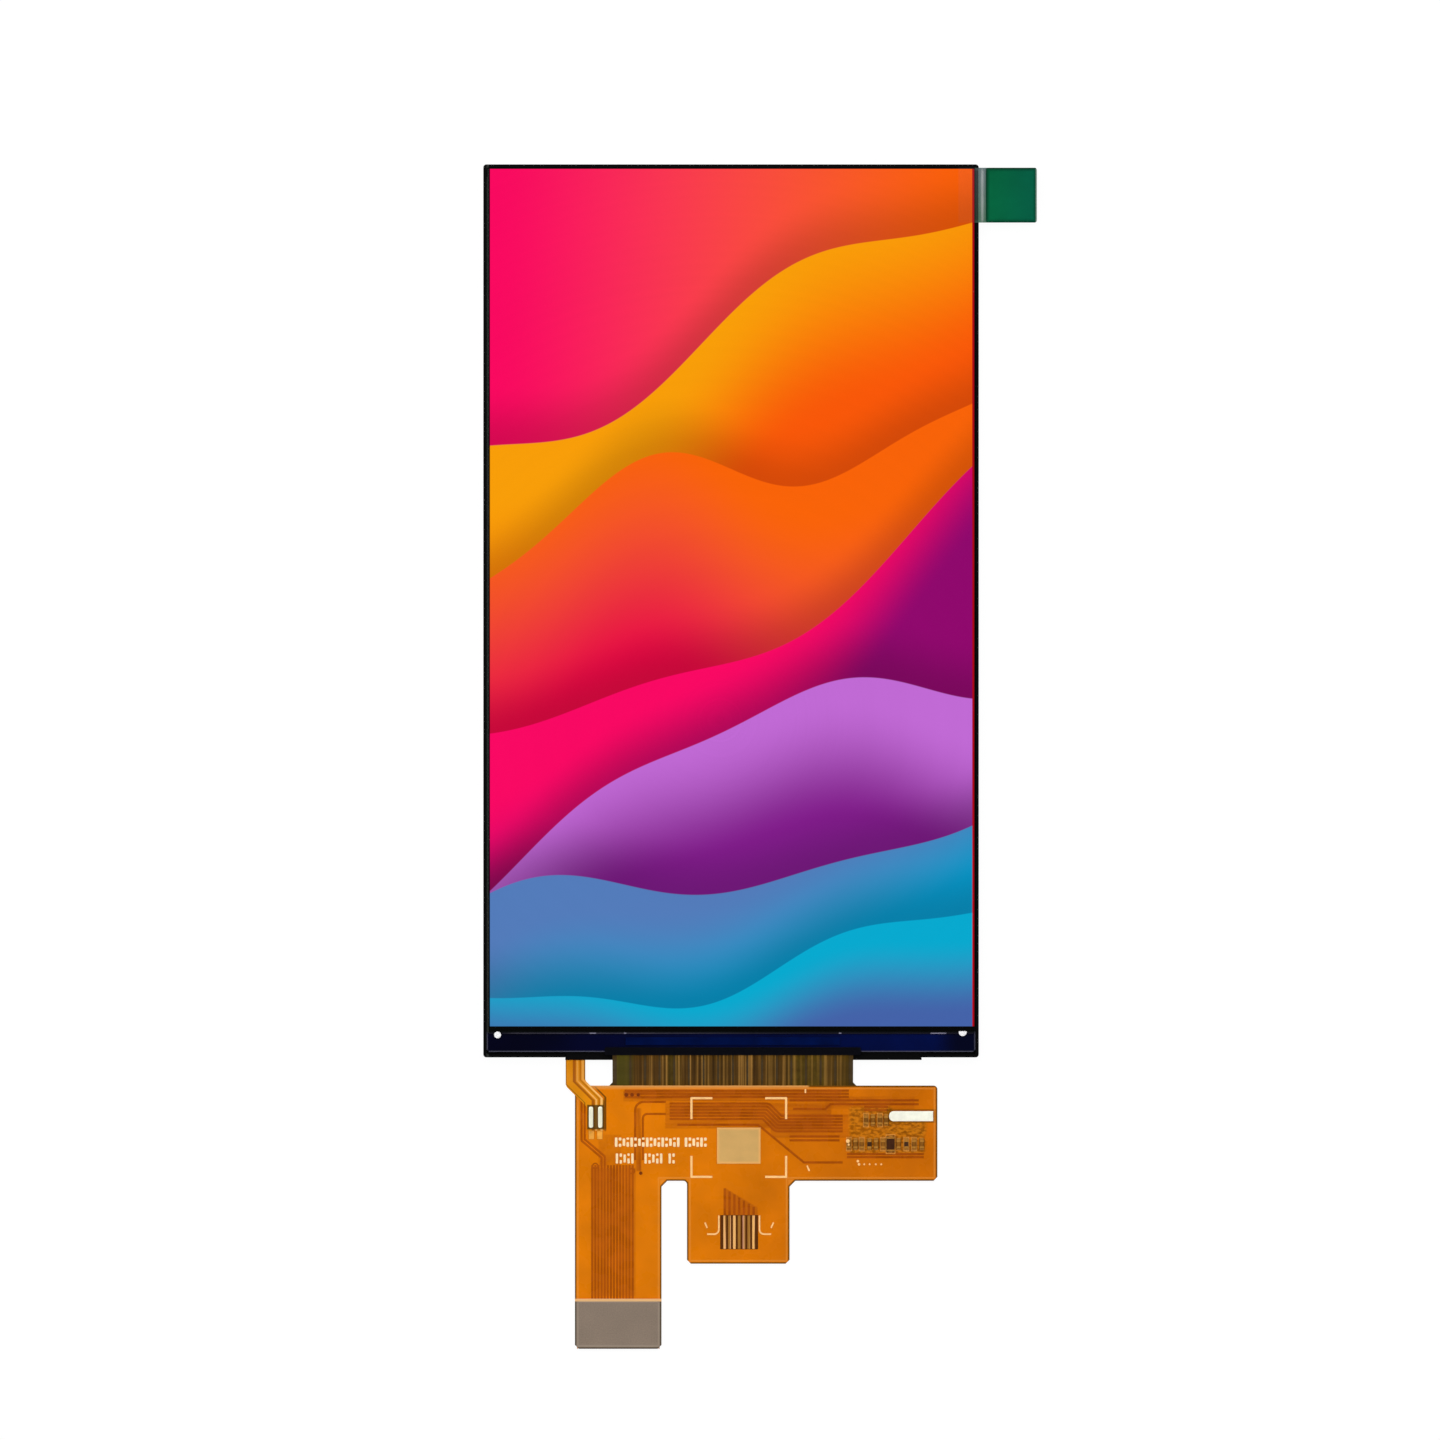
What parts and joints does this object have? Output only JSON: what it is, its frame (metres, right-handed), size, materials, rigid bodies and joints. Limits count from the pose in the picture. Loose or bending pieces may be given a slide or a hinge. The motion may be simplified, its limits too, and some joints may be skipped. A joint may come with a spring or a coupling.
{
  "type": "tft display module",
  "caption": "Flat portrait liquid-crystal display module with backlight, black frame, protective film with pull tab, and an amber flexible circuit with a contact tail.",
  "frame": {"origin": "middle of the module's outline on its back face; the flexible circuit isn't counted", "axes": "+Z out of the viewing side, +Y to the top of the picture, +X to the right of the picture"},
  "size_m": [0.0713, 0.1526, 0.0017],
  "materials": {
    "base_film": "amber polyimide base film",
    "bend_copper": "darkened bare copper tracks",
    "black_tape": "black adhesive tape, satin",
    "cell_glass": "thin display glass over a dark back, polished",
    "ceramic_tan": "tan ceramic chip with tinned ends",
    "chip_black": "black moulded chip",
    "clear_film": "clear protective film, glossy",
    "contact_gold": "gold over nickel",
    "coverlay_amber": "amber polyimide coverlay over copper tracks",
    "driver_silicon": "bare ground silicon",
    "frame_black": "black moulded polycarbonate, fine matt",
    "lamp_body": "white moulded lamp with a yellow phosphor window",
    "lead_film": "amber polyimide film",
    "light_guide_clear": "clear moulded light guide",
    "optical_film": "milky diffuser and prism films",
    "pad_gold": "pale gold-plated pad",
    "polarizer_dark": "neutral dark polarizer film",
    "print_cream": "cream screen print",
    "reflector_white": "silvery white reflector film",
    "sealant_black": "black cured sealant, satin",
    "silver_paste": "dried silver paste",
    "solder_tin": "reflowed solder",
    "stiffener_board": "glass-epoxy stiffener",
    "stiffener_grey": "grey-brown stiffener film, matt",
    "tab_green": "green printed tab film, satin",
    "track_copper": "etched copper",
    "tray_steel": "thin rolled steel, satin"
  },
  "bodies": {
    "root": {"back_plate": "tray_steel", "bend_traces": "bend_copper", "bond_sealant": "sealant_black", "capacitor_01": "ceramic_tan", "capacitor_02": "ceramic_tan", "capacitor_03": "ceramic_tan", "capacitor_04": "ceramic_tan", "capacitor_05": "ceramic_tan", "capacitor_06": "ceramic_tan", "capacitor_07": "ceramic_tan", "capacitor_08": "ceramic_tan", "capacitor_09": "ceramic_tan", "capacitor_10": "ceramic_tan", "capacitor_11": "ceramic_tan", "capacitor_12": "ceramic_tan", "color_filter_glass": "cell_glass", "component_stiffener": "stiffener_board", "contact_stiffener": "stiffener_grey", "copper_traces": "track_copper", "diffuser_film": "optical_film", "diode_01": "chip_black", "driver_chip": "driver_silicon", "front_coverlay": "coverlay_amber", "front_polarizer": "polarizer_dark", "ground_pad": "pad_gold", "led_01": "lamp_body", "led_02": "lamp_body", "led_03": "lamp_body", "led_04": "lamp_body", "led_05": "lamp_body", "led_06": "lamp_body", "led_07": "lamp_body", "led_08": "lamp_body", "led_09": "lamp_body", "led_10": "lamp_body", "led_11": "lamp_body", "led_12": "lamp_body", "led_flex": "lead_film", "light_guide_plate": "light_guide_clear", "lower_prism_film": "optical_film", "main_fpc": "base_film", "mid_frame": "frame_black", "printed_marks": "print_cream", "protective_film": "clear_film", "pull_tab": "tab_green", "rear_polarizer": "polarizer_dark", "reflector_film": "reflector_white", "resistor_01": "chip_black", "resistor_02": "chip_black", "rim_tape": "black_tape", "shade_tape": "black_tape", "silver_dots": "silver_paste", "solder_joints": "solder_tin", "solder_pads": "solder_tin", "tab_tape": "clear_film", "tail_contacts": "contact_gold", "tft_glass": "cell_glass", "touch_pads": "contact_gold", "upper_prism_film": "optical_film"}
  },
  "joints": []
}
